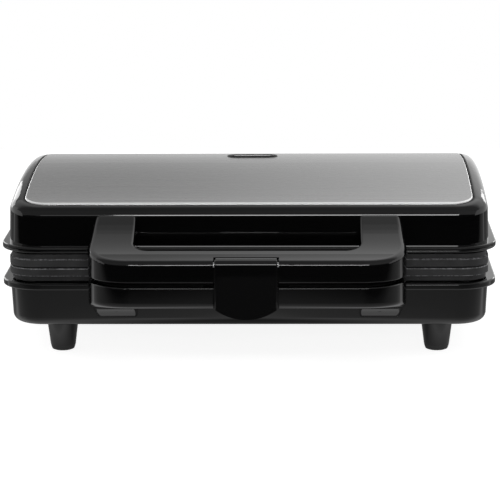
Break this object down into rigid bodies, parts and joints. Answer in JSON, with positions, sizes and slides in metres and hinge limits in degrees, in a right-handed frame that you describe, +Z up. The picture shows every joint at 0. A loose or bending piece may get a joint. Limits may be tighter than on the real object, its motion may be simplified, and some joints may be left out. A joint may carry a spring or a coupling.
{
  "type": "donut maker",
  "caption": "Clamshell donut maker with a domed steel-topped lid, ring-mould plates, split grip with a swinging latch, tapered legs and rear hinges.",
  "frame": {"origin": "centre of the bounding box at the level of the feet", "axes": "+X to the right along the grip, +Y towards the hinges, +Z up"},
  "size_m": [0.255, 0.2307, 0.0882],
  "materials": {
    "gloss_black": "polished black moulding",
    "satin_black": "satin black moulding",
    "brushed_steel_sheet": "brushed stainless sheet with a rolled edge",
    "coated_cast_plate": "cast aluminium with a dark grey non-stick coating",
    "element_sheath": "heat-tinted steel sheath",
    "shield_sheet": "aluminised sheet steel",
    "screw_steel": "zinc-plated steel",
    "pin_steel": "bright steel",
    "black_rubber": "matt black rubber",
    "smoked_lens": "smoked clear plastic",
    "red_lamp": "red glass",
    "green_lamp": "green glass",
    "white_insulator": "white heat-proof plastic",
    "brown_insulator": "brown phenolic",
    "fuse_metal": "tinned metal"
  },
  "bodies": {
    "base": {"base_shell": "gloss_black", "cord_gland": "black_rubber", "front_left_foot": "black_rubber", "front_right_foot": "black_rubber", "left_hinge_pin": "pin_steel", "lower_handle": "gloss_black", "lower_handle_cover": "satin_black", "lower_handle_screws": "screw_steel", "lower_heat_shield": "shield_sheet", "lower_heating_element": "element_sheath", "lower_plate": "coated_cast_plate", "lower_plate_screws": "screw_steel", "rear_left_foot": "black_rubber", "rear_right_foot": "black_rubber", "right_hinge_pin": "pin_steel", "terminal_block": "white_insulator"},
    "lid": {"indicator_lens": "smoked_lens", "lamp_holder": "white_insulator", "latch_pin": "pin_steel", "lid_shell": "gloss_black", "power_lamp": "red_lamp", "ready_lamp": "green_lamp", "thermal_fuse": "fuse_metal", "thermostat": "brown_insulator", "top_panel": "brushed_steel_sheet", "upper_handle": "gloss_black", "upper_handle_cover": "satin_black", "upper_handle_screws": "screw_steel", "upper_heat_shield": "shield_sheet", "upper_heating_element": "element_sheath", "upper_plate": "coated_cast_plate", "upper_plate_screws": "screw_steel"},
    "latch": {"latch": "gloss_black"}
  },
  "joints": [
    {"name": "lid_hinge", "type": "hinge", "parent": "base", "child": "lid", "pos_m": [0, 0.10935, 0.0476], "axis": [-1, 0, 0], "range_deg": [0, 95]},
    {"name": "latch_pivot", "type": "hinge", "parent": "lid", "child": "latch", "pos_m": [0, -0.10965, 0.0575], "axis": [-1, 0, 0], "range_deg": [0, 60]}
  ]
}
